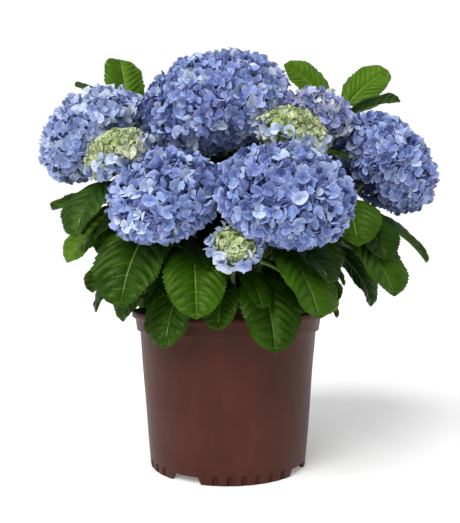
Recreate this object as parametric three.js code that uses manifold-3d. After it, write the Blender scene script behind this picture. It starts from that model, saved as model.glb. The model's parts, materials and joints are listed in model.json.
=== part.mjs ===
// A bigleaf hydrangea in its nursery pot. A squat plastic pot is filled with bark mix. A low woody crown
// sits on the mix, and from it a cane runs out to each shoot. A shoot is a green stem with leaves in
// opposite pairs, and most end in a flower head on its own stalk.
//
// Millimetres, +Z up. The origin is the middle of the pot's base on the ground, and the front is -Y.
// An azimuth is a compass heading in degrees: 0 is the front, 90 is +X, 180 is the back.
import * as THREE from "three";
import { mergeVertices } from "three/addons/utils/BufferGeometryUtils.js";
import Module from "manifold-3d";

const wasm = await Module();
wasm.setup();

// ---------------------------------------------------------------- driving dimensions

const GAP = 0.3; // between solids that touch
const SEED = 2417;

const POT = {
  height: 192,
  rimRadius: 121,
  rimDepth: 8, // the rolled lip at the top
  collarRadius: 117, // the band under the lip
  collarDepth: 16,
  shoulderRadius: 111, // where the tapering wall begins
  baseRadius: 97.5,
  wall: 2.6,
  footWidth: 6, // the ring it stands on
  edgeRound: 2.5, // the turned edge at the foot
  floorRise: 9, // the floor stands this far above the feet
  sides: 40,
  notches: 4, // drain gaps between the feet
  notchHeight: 8.5,
  notchAngle: 22,
  firstNotch: -31,
};

const MIX = { top: 172, crumble: 3 }; // the bark mix, and how far its middle stands up
const CROWN = { radius: 38, dome: 36, sides: 14 }; // the canes spring from the radius, just over the dome

const CANE = { footRadius: 4.6, tipRadius: 3.4, sides: 6, steps: 2, share: 0.26, rooted: 8 };
const STEM = { tipRadius: 2.6, sides: 4, steps: 4, share: 0.9 }; // the leafy stem, up to this share
const STALK = { tipRadius: 2.3, sides: 4, steps: 1 }; // the flower head's own stalk

const LEAF = {
  widthShare: 0.7, // of the blade's length
  petioleShare: 0.3,
  petioleRadius: 1.9,
  thicknessShare: 0.024,
  fold: 12, // each half rises this much from the midrib, in degrees
  fullness: 0.9, // below 1 puts the widest place nearer the petiole
  roundness: 0.62, // nearer 0 makes both ends blunter
  petioleRise: 30, // the rise of the petiole of a level leaf
  stations: [0.2, 0.42, 0.65, 0.86], // where the blade's skin has its rings
  turnRange: 8, // how much leaves vary in heading and in roll, in degrees, and in size, as a share
  rollRange: 14,
  sizeRange: 0.1,
};

const HEAD = {
  dome: 0.72, // height above the widest ring, as a share of the radius
  belly: 0.52, // depth below it
  cover: 1.75, // how far down the florets go, where 2 would cover the whole ball
  florets: 24, // on a head of standard radius
  standard: 75,
  floretRadius: 18,
  floretRise: 5.5, // how far the florets stand out of the core
  core: 0.9, // the solid middle, as a share of the head
};

// One row a shoot. at: the middle of its flower head, or its tip. across: the head's radius, none on a
// leafy shoot. lean: how far the head tips outwards from upright. Each leaf pair is
// [share of the shoot's length, azimuth, rise of the blade's base, droop over its length, length, roll],
// and its other leaf points the opposite way. A roll turns both their faces towards the front. A lone
// leaf has lost its partner.
const SHOOTS = {
  front_right: {
    at: [58, -158, 318], across: 72, lean: 32,
    pairs: [[0.42, 18, -42, 38, 94], [0.66, 26, -26, 48, 96]],
  },
  front_left: {
    at: [-64, -136, 320], across: 64, lean: 38,
    pairs: [[0.36, 332, -38, 42, 102], [0.62, 10, -30, 50, 92]],
  },
  young_front: {
    at: [8, -170, 268], across: 28, lean: 60,
    pairs: [[0.54, 340, -46, 34, 60], [0.7, 40, -30, 45, 56]],
  },
  left: {
    at: [-164, -20, 407], across: 72, lean: 40,
    pairs: [
      [0.7, 322, -8, 70, 108], [0.56, 262, 8, 26, 112, 0],
      [0.5, 288, -12, 46, 112, 30], [0.3, 292, -20, 55, 110],
    ],
  },
  right: {
    at: [194, 12, 377], across: 78, lean: 40,
    pairs: [
      [0.56, 46, -24, 50, 114, 15], [0.72, 4, -4, 64, 100], [0.36, 10, -12, 50, 100],
      [0.66, 94, -14, 38, 126, 20],
      [0.43, 66, -27, 52, 100, 25], [0.72, 70, -25, 44, 92, 20], [0.3, 46, -28, 50, 85],
    ],
  },
  top: {
    at: [-14, -26, 442], across: 92, lean: 26,
    pairs: [[0.42, 30, -10, 50, 95], [0.56, 350, 5, 55, 72], [0.68, 75, 10, 45, 95], [0.28, 6, -20, 50, 86]],
  },
  young_left: {
    at: [-124, -96, 372], across: 40, lean: 35,
    pairs: [[0.52, 354, -26, 50, 120], [0.32, 312, -30, 48, 100], [0.8, 275, -15, 60, 66]],
  },
  young_right: {
    at: [72, -94, 396], across: 42, lean: 28,
    pairs: [[0.5, 62, -14, 60, 96], [0.66, 110, 0, 55, 80], [0.32, 345, -15, 55, 72]],
  },
  upper_right: {
    at: [112, -44, 431], across: 40, lean: 30,
    pairs: [[0.8, 74, 6, 40, 54, 15], [0.62, 110, 5, 55, 80], [0.42, 95, -5, 55, 85]],
  },
  leafy_left: {
    at: [-138, 60, 444], across: 0, lean: 26,
    pairs: [
      [0.99, 205, 78, 20, 85, 0, "lone"], [0.99, 262, 46, 30, 78, 5],
      [0.7, 232, 5, 55, 95], [0.46, 250, -15, 50, 108],
    ],
  },
  leafy_right: {
    at: [150, 54, 448], across: 0, lean: 30,
    pairs: [
      [0.99, 95, 53, 24, 77, 56], [0.9, 92, 36, 36, 84, 0, "lone"],
      [0.74, 150, 30, 45, 90], [0.46, 115, -15, 50, 108],
    ],
  },
  back_left: {
    at: [-84, 128, 382], across: 70, lean: 36,
    pairs: [[0.72, 238, -15, 55, 105], [0.58, 200, -30, 50, 100], [0.4, 228, -25, 50, 105]],
  },
  back_right: {
    at: [122, 128, 368], across: 66, lean: 38,
    pairs: [[0.72, 100, -15, 55, 102], [0.58, 160, -30, 50, 100], [0.4, 132, -25, 50, 105]],
  },
  back_top: {
    at: [20, 104, 424], across: 48, lean: 26,
    pairs: [[0.66, 180, 30, 60, 76], [0.46, 155, -15, 50, 90]],
  },
  back_low: {
    at: [14, 178, 304], across: 62, lean: 48,
    pairs: [[0.36, 185, -35, 45, 95], [0.66, 225, -25, 50, 95], [0.56, 140, -30, 50, 95]],
  },
  side_left: {
    at: [-96, 42, 252], across: 0, lean: 65,
    pairs: [[0.97, 250, -10, 50, 92], [0.6, 210, -25, 50, 90]],
  },
  side_right: {
    at: [106, 52, 252], across: 0, lean: 65,
    pairs: [[0.97, 105, -10, 50, 92], [0.6, 150, -25, 50, 90]],
  },
};

// ---------------------------------------------------------------- directions, paths, seeded numbers

const radians = THREE.MathUtils.degToRad;
const vector = (x, y, z) => new THREE.Vector3(x, y, z);
const UP = vector(0, 0, 1);

// The unit vector that points to an azimuth at an elevation above the level.
function heading(azimuth, elevation) {
  const level = Math.cos(radians(elevation));
  return vector(
    Math.sin(radians(azimuth)) * level,
    -Math.cos(radians(azimuth)) * level,
    Math.sin(radians(elevation)),
  );
}

// Numbers from 0 to 1 that are the same at every run.
function seeded(seed) {
  let state = (seed * 48271) % 2147483647;
  return () => {
    state = (state * 16807) % 2147483647;
    return state / 2147483647;
  };
}

// A shoot's whole run, from the crown to the underside of its head, with the way that the head faces.
function shootPath({ at, across, lean }) {
  const middle = vector(...at);
  const crown = vector(0, 0, MIX.top);
  const azimuth = THREE.MathUtils.radToDeg(Math.atan2(middle.x, -middle.y));
  const facing = heading(azimuth, 90 - lean);
  const away = middle.clone().sub(crown).normalize();
  const foot = crown.clone().addScaledVector(away, CROWN.radius + GAP);
  const end = middle.clone().addScaledVector(facing, -across * HEAD.belly * 0.6);
  const reach = end.distanceTo(foot) / 3;
  const curve = new THREE.CubicBezierCurve3(
    foot,
    foot.clone().addScaledVector(away, reach),
    end.clone().addScaledVector(facing, -reach),
    end,
  );
  return { middle, facing, azimuth, curve };
}

// ---------------------------------------------------------------- solids

// A closed geometry as a solid that can be joined or cut.
function solid(geometry) {
  const bare = geometry.index ? geometry.toNonIndexed() : geometry.clone();
  const positions = new THREE.BufferGeometry();
  positions.setAttribute("position", bare.getAttribute("position"));
  const merged = mergeVertices(positions, 1e-3);
  return new wasm.Manifold(
    new wasm.Mesh({
      numProp: 3,
      vertProperties: merged.attributes.position.array,
      triVerts: new Uint32Array(merged.index.array),
    }),
  );
}

const joined = (solids) => solids.reduce((sum, next) => sum.add(next));

// A solid as a named mesh. Scraps that a cut left loose are dropped.
function named(name, made, material) {
  const whole = made.decompose().sort((a, b) => b.volume() - a.volume())[0];
  const { numProp, numVert, vertProperties, triVerts } = whole.getMesh();
  const places = new Float32Array(numVert * 3);
  for (let i = 0; i < numVert; i++) {
    places.set(vertProperties.subarray(i * numProp, i * numProp + 3), i * 3);
  }
  const geometry = new THREE.BufferGeometry();
  geometry.setAttribute("position", new THREE.BufferAttribute(places, 3));
  geometry.setIndex(new THREE.BufferAttribute(triVerts, 1));
  geometry.computeVertexNormals();
  const mesh = new THREE.Mesh(geometry, material);
  mesh.name = name;
  return mesh;
}

// Moves every vertex of a geometry to where place(x, y, z) says.
function reshape(geometry, place) {
  const positions = geometry.attributes.position;
  for (let i = 0; i < positions.count; i++) {
    const { x, y, z } = place(positions.getX(i), positions.getY(i), positions.getZ(i));
    positions.setXYZ(i, x, y, z);
  }
  return geometry;
}

// A round limb that tapers along a curve from one share of it to another, with flat ends.
function limb(curve, from, to, startRadius, endRadius, sides, steps) {
  const rod = new THREE.CylinderGeometry(1, 1, 1, sides, steps);
  return solid(
    reshape(rod, (x, y, z) => {
      const along = y + 0.5;
      const share = from + (to - from) * along;
      const centre = curve.getPoint(share);
      const ahead = curve.getTangent(Math.max(share, 0));
      const side = Math.abs(ahead.z) > 0.99 ? vector(1, 0, 0) : vector().crossVectors(ahead, UP).normalize();
      const over = vector().crossVectors(side, ahead);
      const radius = THREE.MathUtils.lerp(startRadius, endRadius, along);
      return centre.addScaledVector(side, x * radius).addScaledVector(over, z * radius);
    }),
  );
}

// ---------------------------------------------------------------- pot, mix and crown

// The wall's outer radius at a height, under the shoulder.
function potRadius(z) {
  const shoulder = POT.height - POT.rimDepth - POT.collarDepth;
  return THREE.MathUtils.lerp(POT.baseRadius, POT.shoulderRadius, Math.min(z / shoulder, 1));
}

function potSolid() {
  const lip = POT.height - POT.rimDepth;
  const shoulder = lip - POT.collarDepth;
  const outline = [
    [0, POT.floorRise],
    [potRadius(0) - POT.footWidth, POT.floorRise],
    [potRadius(0) - POT.footWidth, 0],
    [potRadius(0) - POT.edgeRound / 2, 0],
    [potRadius(0), POT.edgeRound],
    [POT.shoulderRadius, shoulder],
    [POT.collarRadius - 2, shoulder],
    [POT.collarRadius, lip],
    [POT.rimRadius, lip],
    [POT.rimRadius, POT.height],
    [POT.rimRadius - POT.wall * 1.6, POT.height],
    [POT.shoulderRadius - POT.wall, shoulder - POT.wall],
    [potRadius(0) - POT.wall, POT.floorRise + POT.wall],
    [0, POT.floorRise + POT.wall],
  ];
  const wall = new THREE.LatheGeometry(
    outline.map(([radius, height]) => new THREE.Vector2(radius, height)),
    POT.sides,
  );
  let pot = solid(wall.rotateX(Math.PI / 2));
  for (let i = 0; i < POT.notches; i++) {
    const azimuth = POT.firstNotch + (i * 360) / POT.notches;
    const width = 2 * POT.baseRadius * Math.sin(radians(POT.notchAngle / 2));
    const reach = POT.footWidth * 3;
    const block = new THREE.BoxGeometry(width, reach, POT.notchHeight * 2)
      .translate(0, -POT.baseRadius + reach / 3, 0)
      .rotateZ(radians(azimuth));
    pot = pot.subtract(solid(block));
  }
  return pot;
}

function mixSolid() {
  const floor = POT.floorRise + POT.wall + GAP;
  const inner = (z) => {
    const shoulder = POT.height - POT.rimDepth - POT.collarDepth - POT.wall;
    const share = (z - POT.floorRise - POT.wall) / (shoulder - POT.floorRise - POT.wall);
    const low = potRadius(0) - POT.wall;
    return THREE.MathUtils.lerp(low, POT.shoulderRadius - POT.wall, share) - GAP;
  };
  const edge = MIX.top - MIX.crumble * 3;
  const outline = [
    [0, floor],
    [inner(floor), floor],
    [inner(edge), edge],
    [inner(edge) * 0.6, MIX.top - MIX.crumble],
    [0, MIX.top - MIX.crumble],
  ];
  const body = new THREE.LatheGeometry(
    outline.map(([radius, height]) => new THREE.Vector2(radius, height)),
    POT.sides,
  );
  return solid(body.rotateX(Math.PI / 2));
}

// The woody crown: a low dome, flat underneath, with a flare at its foot.
function crownSolid() {
  const rings = 4;
  const foot = MIX.top - MIX.crumble + GAP;
  const outline = [new THREE.Vector2(0, foot), new THREE.Vector2(CROWN.dome, foot)];
  for (let i = 0; i <= rings; i++) {
    const angle = (i / rings) * (Math.PI / 2);
    const height = MIX.top + Math.sin(angle) * CROWN.dome;
    const radius = Math.cos(angle) * CROWN.dome;
    outline.push(new THREE.Vector2(i === rings ? 0 : radius, height));
  }
  return solid(new THREE.LatheGeometry(outline, CROWN.sides).rotateX(Math.PI / 2));
}

// A shoot's woody foot, cut to the crown's skin so that it sits on it with the gap all round.
function caneSolid(curve) {
  const sunk = CANE.rooted / curve.v0.distanceTo(curve.v3);
  const rod = limb(curve, -sunk, CANE.share, CANE.footRadius, CANE.tipRadius, CANE.sides, CANE.steps);
  const grown = 1 + (GAP * 1.1) / CROWN.dome;
  const seat = crownSolid()
    .translate([0, 0, -MIX.top])
    .scale([grown, grown, grown])
    .translate([0, 0, MIX.top]);
  return rod.subtract(seat);
}

// ---------------------------------------------------------------- leaves

// How wide a leaf is at a share of its length, as a share of its full width.
const leafWidth = (share) => Math.sin(Math.PI * share ** LEAF.fullness) ** LEAF.roundness;

// A leaf: where it grows from the stem, its heading, and the bend of its blade. The three chances, from
// 0 to 1, vary its heading, its roll and its size.
function makeLeaf(curve, [share, azimuth, rise, droop, length, rolled = 0], chances) {
  const turn = (chances[0] - 0.5) * LEAF.turnRange;
  const roll = rolled * Math.sin(radians(azimuth)) + (chances[1] - 0.5) * LEAF.rollRange;
  const size = length * (1 + (chances[2] - 0.5) * LEAF.sizeRange);
  const root = curve.getPoint(share);
  const petiole = heading(azimuth + turn, rise / 2 + LEAF.petioleRise);
  const base = root.clone().addScaledVector(petiole, size * LEAF.petioleShare);
  return { root, base, azimuth: azimuth + turn, rise, droop, roll, size };
}

// A point on a leaf's blade. along runs from 0 at its base to 1 at its tip, and across from -1 to 1.
function leafPoint(leaf, along, across, sink = 0) {
  const { base, azimuth, rise, droop, roll, size } = leaf;
  const start = radians(rise);
  const bend = radians(droop);
  const now = start - bend * along;
  const out = (size / bend) * (Math.sin(start) - Math.sin(now));
  const lift = (size / bend) * (Math.cos(now) - Math.cos(start));
  const side = heading(azimuth + 90, 0);
  const face = heading(azimuth, THREE.MathUtils.radToDeg(now) + 90);
  const tilt = radians(roll);
  const half = (across * leafWidth(along) * size * LEAF.widthShare) / 2;
  const fold = radians(LEAF.fold);
  const flat = half * Math.cos(fold);
  const raised = Math.abs(half) * Math.sin(fold) - sink;
  return base
    .clone()
    .addScaledVector(heading(azimuth, 0), out)
    .addScaledVector(UP, lift)
    .addScaledVector(side, flat * Math.cos(tilt) - raised * Math.sin(tilt))
    .addScaledVector(face, flat * Math.sin(tilt) + raised * Math.cos(tilt));
}

// A leaf is one closed skin of four columns: right edge, midrib above, left edge, midrib below.
function leafSolid(leaf) {
  const { root, base, size } = leaf;
  const ahead = base.clone().sub(root).normalize();
  const side = heading(leaf.azimuth + 90, 0);
  const over = vector().crossVectors(ahead, side);
  const around = (centre, radius, right, up) =>
    centre.clone().addScaledVector(side, right * radius).addScaledVector(over, up * radius);
  const thickness = size * LEAF.thicknessShare;
  const rings = LEAF.stations.length + 3;
  const skin = new THREE.SphereGeometry(1, 4, rings);
  return solid(
    reshape(skin, (x, y, z) => {
      const polar = Math.acos(THREE.MathUtils.clamp(y, -1, 1)) / Math.PI;
      const ring = Math.round(polar * rings);
      const reach = Math.sin(polar * Math.PI);
      const right = reach > 1e-6 ? Math.round(x / reach) : 0;
      const up = reach > 1e-6 ? Math.round(z / reach) : 0;
      if (ring === 0) return root.clone().addScaledVector(ahead, -1);
      if (ring === 1) return around(root, LEAF.petioleRadius * 1.2, right, up);
      if (ring === 2) return around(base, LEAF.petioleRadius, right, up);
      if (ring === rings) return leafPoint(leaf, 1, 0, thickness / 2);
      return leafPoint(leaf, LEAF.stations[ring - 3], right, up < 0 ? thickness : 0);
    }),
  );
}

// ---------------------------------------------------------------- flower heads

// The head's surface in a direction: a dome above its widest ring and a shallower belly below it.
function headPoint({ middle, facing }, radius, direction) {
  const side = vector().crossVectors(UP, facing).normalize();
  const over = vector().crossVectors(side, facing);
  const height = direction.y > 0 ? HEAD.dome : HEAD.belly;
  return middle
    .clone()
    .addScaledVector(side, direction.x * radius)
    .addScaledVector(facing, direction.y * radius * height)
    .addScaledVector(over, direction.z * radius);
}

// Directions spread evenly over a ball, from the top of the dome to the belly.
function spread(count) {
  const golden = Math.PI * (3 - Math.sqrt(5));
  return Array.from({ length: count }, (_, i) => {
    const height = 1 - ((i + 0.5) / count) * HEAD.cover;
    const ring = Math.sqrt(1 - height * height);
    return vector(Math.cos(golden * i) * ring, height, Math.sin(golden * i) * ring);
  });
}

function headSolid(path, others, random) {
  const { across } = path;
  const core = new THREE.IcosahedronGeometry(1, 1);
  const inner = across * HEAD.core;
  const pieces = [
    solid(reshape(core, (x, y, z) => headPoint(path, inner, vector(x, y, z)))),
  ];
  const count = Math.round(HEAD.florets * (0.35 + 0.65 * (across / HEAD.standard) ** 2));
  const size = HEAD.floretRadius * Math.min(1, 0.35 + (0.65 * across) / HEAD.standard);
  for (const direction of spread(count)) {
    const outer = headPoint(path, across, direction);
    const spin = random() * Math.PI;
    const lift = random() * HEAD.floretRise * 0.6;
    if (others.some((other) => insideHead(other, outer, SPACE.floret))) continue;
    const root = headPoint(path, across * 0.72, direction);
    const away = outer.clone().sub(root).normalize();
    const side = vector().crossVectors(away, path.facing).normalize();
    const over = vector().crossVectors(side, away);
    const depth = outer.distanceTo(root);
    const floret = new THREE.OctahedronGeometry(1);
    pieces.push(
      solid(
        reshape(floret, (x, y, z) => {
          const [u, v] = [x * Math.cos(spin) - z * Math.sin(spin), x * Math.sin(spin) + z * Math.cos(spin)];
          const height = y < 0 ? -depth : y > 0 ? -lift : -lift - size * 0.3;
          return outer
            .clone()
            .addScaledVector(side, u * size)
            .addScaledVector(over, v * size)
            .addScaledVector(away, height);
        }),
      ),
    );
  }
  return joined(pieces);
}

// ---------------------------------------------------------------- keeping each piece to its own space

const SPACE = {
  samplesAlong: 18,
  samplesAcross: 11,
  stalkSample: 0.7, // and one on the stalk, this far along it
  leaves: 6.2, // the least distance between two leaves' sample points
  limbs: 6.5, // and from a leaf to a cane or stem
  ownLimb: 5, // or to its own stem
  head: 3, // a leaf stays this far outside the heads
  floret: 6, // and so does a floret from the other heads
  pot: 5, // and this far from the pot and its mix
  turns: [0, 12, -12, 24, -24, 36, -36],
};

function leafSamples(leaf) {
  const points = [leaf.root.clone().lerp(leaf.base, SPACE.stalkSample)];
  for (let i = 0; i < SPACE.samplesAlong; i++) {
    for (let j = 0; j < SPACE.samplesAcross; j++) {
      const along = (i + 0.5) / SPACE.samplesAlong;
      const across = (2 * j) / (SPACE.samplesAcross - 1) - 1;
      points.push(leafPoint(leaf, along, across));
    }
  }
  return points;
}

// Whether a point comes nearer to a head than a clearance.
function insideHead({ middle, facing, across }, point, clearance) {
  if (!across) return false;
  const away = point.clone().sub(middle);
  const height = away.dot(facing);
  const level = Math.sqrt(Math.max(0, away.lengthSq() - height * height));
  const deep = height > 0 ? HEAD.dome : HEAD.belly;
  return Math.hypot(level, height / deep) < across + clearance;
}

function insidePot(point) {
  const radius = Math.hypot(point.x, point.y);
  const wall = point.z > POT.height - POT.rimDepth - POT.collarDepth ? POT.rimRadius : potRadius(point.z);
  return radius < wall + SPACE.pot && point.z < POT.height + SPACE.pot;
}

// Every shoot with its path and the leaves that find room, in the order of the rows.
function growShoots() {
  const shoots = Object.entries(SHOOTS).map(([name, row]) => {
    return { name, ...row, ...shootPath(row), leaves: [] };
  });
  const limbs = shoots.map(({ curve }) => curve.getPoints(48));
  const most = Math.max(...shoots.map(({ pairs }) => pairs.length));
  const order = [0, 180].flatMap((opposite) =>
    Array.from({ length: most }, (_, rank) => shoots.map((shoot, of) => ({ shoot, of, rank, opposite }))).flat(),
  );
  const taken = [];
  for (const { shoot, of, rank, opposite } of order) {
    if (!shoot.pairs[rank] || (opposite && shoot.pairs[rank].includes("lone"))) continue;
    const random = seeded(SEED + of * 101 + rank * 13 + opposite);
    const [share, azimuth, ...bend] = shoot.pairs[rank];
    const chances = [random(), random(), random()];
    for (const turn of SPACE.turns) {
      const leaf = makeLeaf(shoot.curve, [share, azimuth + opposite + turn, ...bend], chances);
      const points = leafSamples(leaf);
      const blocked = points.some(
        (point) =>
          insidePot(point) ||
          shoots.some((other) => insideHead(other, point, SPACE.head)) ||
          limbs.some((line, of) => {
            const clearance = shoots[of] === shoot ? SPACE.ownLimb : SPACE.limbs;
            return line.some((place) => place.distanceTo(point) < clearance);
          }) ||
          taken.some((place) => place.distanceTo(point) < SPACE.leaves),
      );
      if (!blocked) {
        shoot.leaves.push(leaf);
        taken.push(...points);
        break;
      }
    }
  }
  return shoots;
}

// ---------------------------------------------------------------- assembly

const finish = (color, roughness) => new THREE.MeshStandardMaterial({ color, roughness, metalness: 0 });
const MATERIALS = {
  pot: finish("#5d3a35", 0.45),
  mix: finish("#3a2c22", 0.95),
  wood: finish("#7a6a4c", 0.85),
  leaf: finish("#2f6416", 0.5),
  blossom: finish("#8094d6", 0.7),
  young: finish("#c9cfa4", 0.7),
};

const plant = new THREE.Group();
plant.add(named("pot", potSolid(), MATERIALS.pot));
plant.add(named("bark_mix", mixSolid(), MATERIALS.mix));
plant.add(named("root_crown", crownSolid(), MATERIALS.wood));

const shoots = growShoots();
for (const shoot of shoots) {
  const { name, curve, across, leaves } = shoot;
  const random = seeded(SEED + name.length * 7);
  const gap = GAP / curve.getLength();
  const stemEnd = across ? STEM.share : 1;
  plant.add(named(`cane_${name}`, caneSolid(curve), MATERIALS.wood));
  const stem = limb(curve, CANE.share + gap, stemEnd, CANE.tipRadius, STEM.tipRadius, STEM.sides, STEM.steps);
  plant.add(named(`leaves_${name}`, joined([stem, ...leaves.map(leafSolid)]), MATERIALS.leaf));
  if (across) {
    const others = shoots.filter((other) => other !== shoot);
    const stalk = limb(curve, stemEnd + gap, 1, STEM.tipRadius, STALK.tipRadius, STALK.sides, STALK.steps);
    const colour = name.startsWith("young") ? MATERIALS.young : MATERIALS.blossom;
    plant.add(named(`head_${name}`, joined([stalk, headSolid(shoot, others, random)]), colour));
  }
}

export default plant;
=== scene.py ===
# The looks of a bigleaf hydrangea in its nursery pot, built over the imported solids. Lengths are in
# millimetres until a mesh is made. An azimuth is a compass heading in degrees: 0 is the front, which
# faces -Y, and 90 is +X. Each section below is one piece of the plant, in the order it is put together.
import json
import math

import bpy
import numpy as np
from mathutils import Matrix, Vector

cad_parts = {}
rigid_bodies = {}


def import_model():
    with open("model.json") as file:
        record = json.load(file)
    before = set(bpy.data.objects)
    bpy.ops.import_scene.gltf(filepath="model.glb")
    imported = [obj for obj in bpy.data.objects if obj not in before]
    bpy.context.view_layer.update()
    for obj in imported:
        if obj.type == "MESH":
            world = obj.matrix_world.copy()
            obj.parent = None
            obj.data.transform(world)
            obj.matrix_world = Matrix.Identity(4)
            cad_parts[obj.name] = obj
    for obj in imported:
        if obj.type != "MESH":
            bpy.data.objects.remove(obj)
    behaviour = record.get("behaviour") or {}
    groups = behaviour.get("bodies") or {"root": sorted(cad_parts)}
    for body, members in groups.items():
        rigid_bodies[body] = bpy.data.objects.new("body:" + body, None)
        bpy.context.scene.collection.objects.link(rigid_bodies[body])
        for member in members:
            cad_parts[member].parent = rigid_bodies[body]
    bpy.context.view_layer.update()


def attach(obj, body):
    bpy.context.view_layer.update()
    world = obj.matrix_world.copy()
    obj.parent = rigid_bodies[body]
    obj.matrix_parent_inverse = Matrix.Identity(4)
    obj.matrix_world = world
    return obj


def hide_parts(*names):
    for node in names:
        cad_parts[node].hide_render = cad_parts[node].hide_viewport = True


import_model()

# -------- the pot
# A squat nursery pot, moulded in one piece from satin purple-brown plastic. Its wall flares up to a
# band and a rolled lip. Four drain gaps cut the foot it stands on, and small arches dent the foot.

UP = np.array([0, 0, 1.0])
POT_COLUMNS = 600
FOOT_RADIUS = 97.5
SHOULDER_RADIUS = 111
SHOULDER_HEIGHT = 168
RIM_RADIUS = 121
POT_HEIGHT = 192
GAP_AZIMUTHS = (-30, 60, 150, 240)  # the middle of each drain gap
GAP_HEIGHT = 8.5
GAP_HALF_WIDTH = 16.5  # at its top, from which it widens downwards
ARCHES_FROM_GAP = 46  # degrees from a drain gap to the middle of the six arches beside it
ARCH_SPACING = 9.75  # degrees from one arch to the next
ARCH_HALF_WIDTH = 3.1
ARCH_HEIGHT = 11.5
ARCH_DEPTH = 3.6
ARCH_ROUND = 2.5  # the height of the curve at the top of an arch


class Wire:
    """An output socket that takes plain arithmetic, each step of which adds its Math node."""

    def __init__(self, graph, socket):
        self.graph, self.socket = graph, socket

    def __add__(self, other):
        return self.graph.maths("ADD", self, other)

    def __sub__(self, other):
        return self.graph.maths("SUBTRACT", self, other)

    def __rsub__(self, other):
        return self.graph.maths("SUBTRACT", other, self)

    def __mul__(self, other):
        return self.graph.maths("MULTIPLY", self, other)


class Graph:
    """The nodes of one material or one geometry tree."""

    def __init__(self, tree):
        self.tree = tree

    def node(self, kind, sockets={}, out=0, **settings):
        """A node's chosen output, with its sockets set or wired."""
        made = self.tree.nodes.new(kind)
        for name, value in settings.items():
            setattr(made, name, value)
        for name, value in sockets.items():
            if isinstance(value, Wire):
                self.tree.links.new(value.socket, made.inputs[name])
            else:
                made.inputs[name].default_value = value
        return Wire(self, made.outputs[out]) if made.outputs else None

    def maths(self, operation, first, second=0.0):
        return self.node("ShaderNodeMath", {0: first, 1: second}, operation=operation)

    def place(self, upright=1.0):
        """The point on the piece, in metres, with its height scaled."""
        point = self.node("ShaderNodeTexCoord", out="Object")
        return self.node("ShaderNodeMapping", {"Vector": point, "Scale": (1, 1, upright)})

    def noise(self, scale, detail=2.0, upright=1.0):
        sockets = {"Vector": self.place(upright), "Scale": scale, "Detail": detail}
        return self.node("ShaderNodeTexNoise", sockets)

    def mark(self, name):
        """For a material, a number that is written on the mesh."""
        return self.node("ShaderNodeAttribute", out="Fac", attribute_name=name)

    def told(self, name, kind="INT"):
        """For a geometry tree, a value that is written on the mesh."""
        return self.node("GeometryNodeInputNamedAttribute", {"Name": name}, data_type=kind)

    def finished(self, geometry, name, number, finish):
        """The geometry with a finish on each face whose written number is the given one."""
        pair = {2: self.told(name), 3: number}
        chosen = self.node("FunctionNodeCompare", pair, data_type="INT", operation="EQUAL")
        sockets = {"Geometry": geometry, "Selection": chosen, "Material": finish}
        return self.node("GeometryNodeSetMaterial", sockets)

    def close(self, result):
        self.node("NodeGroupOutput", {0: result})

    def blend(self, share, first, second):
        sockets = {"Factor": share, 6: first, 7: second}
        return self.node("ShaderNodeMix", sockets, 2, data_type="RGBA")

    def ramp(self, share, *stops):
        """A colour that runs from the first of two stops to the second, each a place and its colour."""
        made = self.node("ShaderNodeValToRGB", {"Fac": share})
        for element, (place, colour) in zip(made.socket.node.color_ramp.elements, stops):
            element.position = place
            element.color = (*colour, 1)
        return made


def dye(red, green, blue):
    """A colour named by its screen values, from 0 to 255, as the shader wants it."""
    return tuple(((v / 255 + 0.055) / 1.055) ** 2.4 if v > 10 else v / 3295 for v in (red, green, blue))


def compass(azimuth):
    """The level ways ahead and to the right for a heading."""
    turn = math.radians(azimuth)
    return np.array([math.sin(turn), -math.cos(turn), 0]), np.array([math.cos(turn), math.sin(turn), 0])


def linked(name, data):
    """A new object in the scene."""
    piece = bpy.data.objects.new(name, data)
    bpy.context.scene.collection.objects.link(piece)
    return piece


def coat(name, mix, *colours, **looks):
    """A material. mix gives the shader's sockets, and may give a relief and its height in mm."""
    material = bpy.data.materials.new(name)
    material.use_nodes = True
    material.node_tree.nodes.clear()
    graph = Graph(material.node_tree)
    sockets = mix(graph, *colours, **looks)
    relief = sockets.pop("relief", None)
    depth = sockets.pop("depth", 0.1)
    if relief is not None:
        bump = {"Height": relief, "Distance": depth * 0.001, "Strength": 1.0}
        sockets["Normal"] = graph.node("ShaderNodeBump", bump)
    shader = graph.node("ShaderNodeBsdfPrincipled", sockets)
    graph.node("ShaderNodeOutputMaterial", {"Surface": shader})
    return material


def built(name, points, faces, materials, slots=None):
    """A smooth mesh object from points in millimetres."""
    mesh = bpy.data.meshes.new(name)
    mesh.from_pydata((np.asarray(points) * 0.001).tolist(), [], [list(map(int, f)) for f in faces])
    for material in materials:
        mesh.materials.append(material)
    if slots is not None:
        mesh.polygons.foreach_set("material_index", np.asarray(slots, dtype=np.int32))
    mesh.shade_smooth()
    return linked(name, mesh)


def marked(mesh, name, values, kind="FLOAT", domain="POINT"):
    """Writes a number, a whole number or a vector on each point or face."""
    column = mesh.attributes.new(name, kind, domain)
    values = np.asarray(values, dtype=np.int32 if kind == "INT" else np.float32)
    column.data.foreach_set("vector" if kind == "FLOAT_VECTOR" else "value", values.ravel())


def ring_faces(rows, columns):
    """Faces round the rings of a body and over its two end points, which come last of its points."""
    last = (rows - 1) * columns
    faces = []
    for j in range(columns):
        k = (j + 1) % columns
        faces.append((last + columns, k, j))
        faces.extend((i + j, i + k, i + columns + k, i + columns + j) for i in range(0, last, columns))
        faces.append((last + j, last + k, last + columns + 1))
    return faces


def quads(sheet):
    """The corners of each face of a grid of point numbers."""
    return np.stack([sheet[:-1, :-1], sheet[:-1, 1:], sheet[1:, 1:], sheet[1:, :-1]], -1).reshape(-1, 4)


def held(numbers):
    """The nearest numbers from 0 to 1."""
    return np.clip(numbers, 0, 1)


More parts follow.
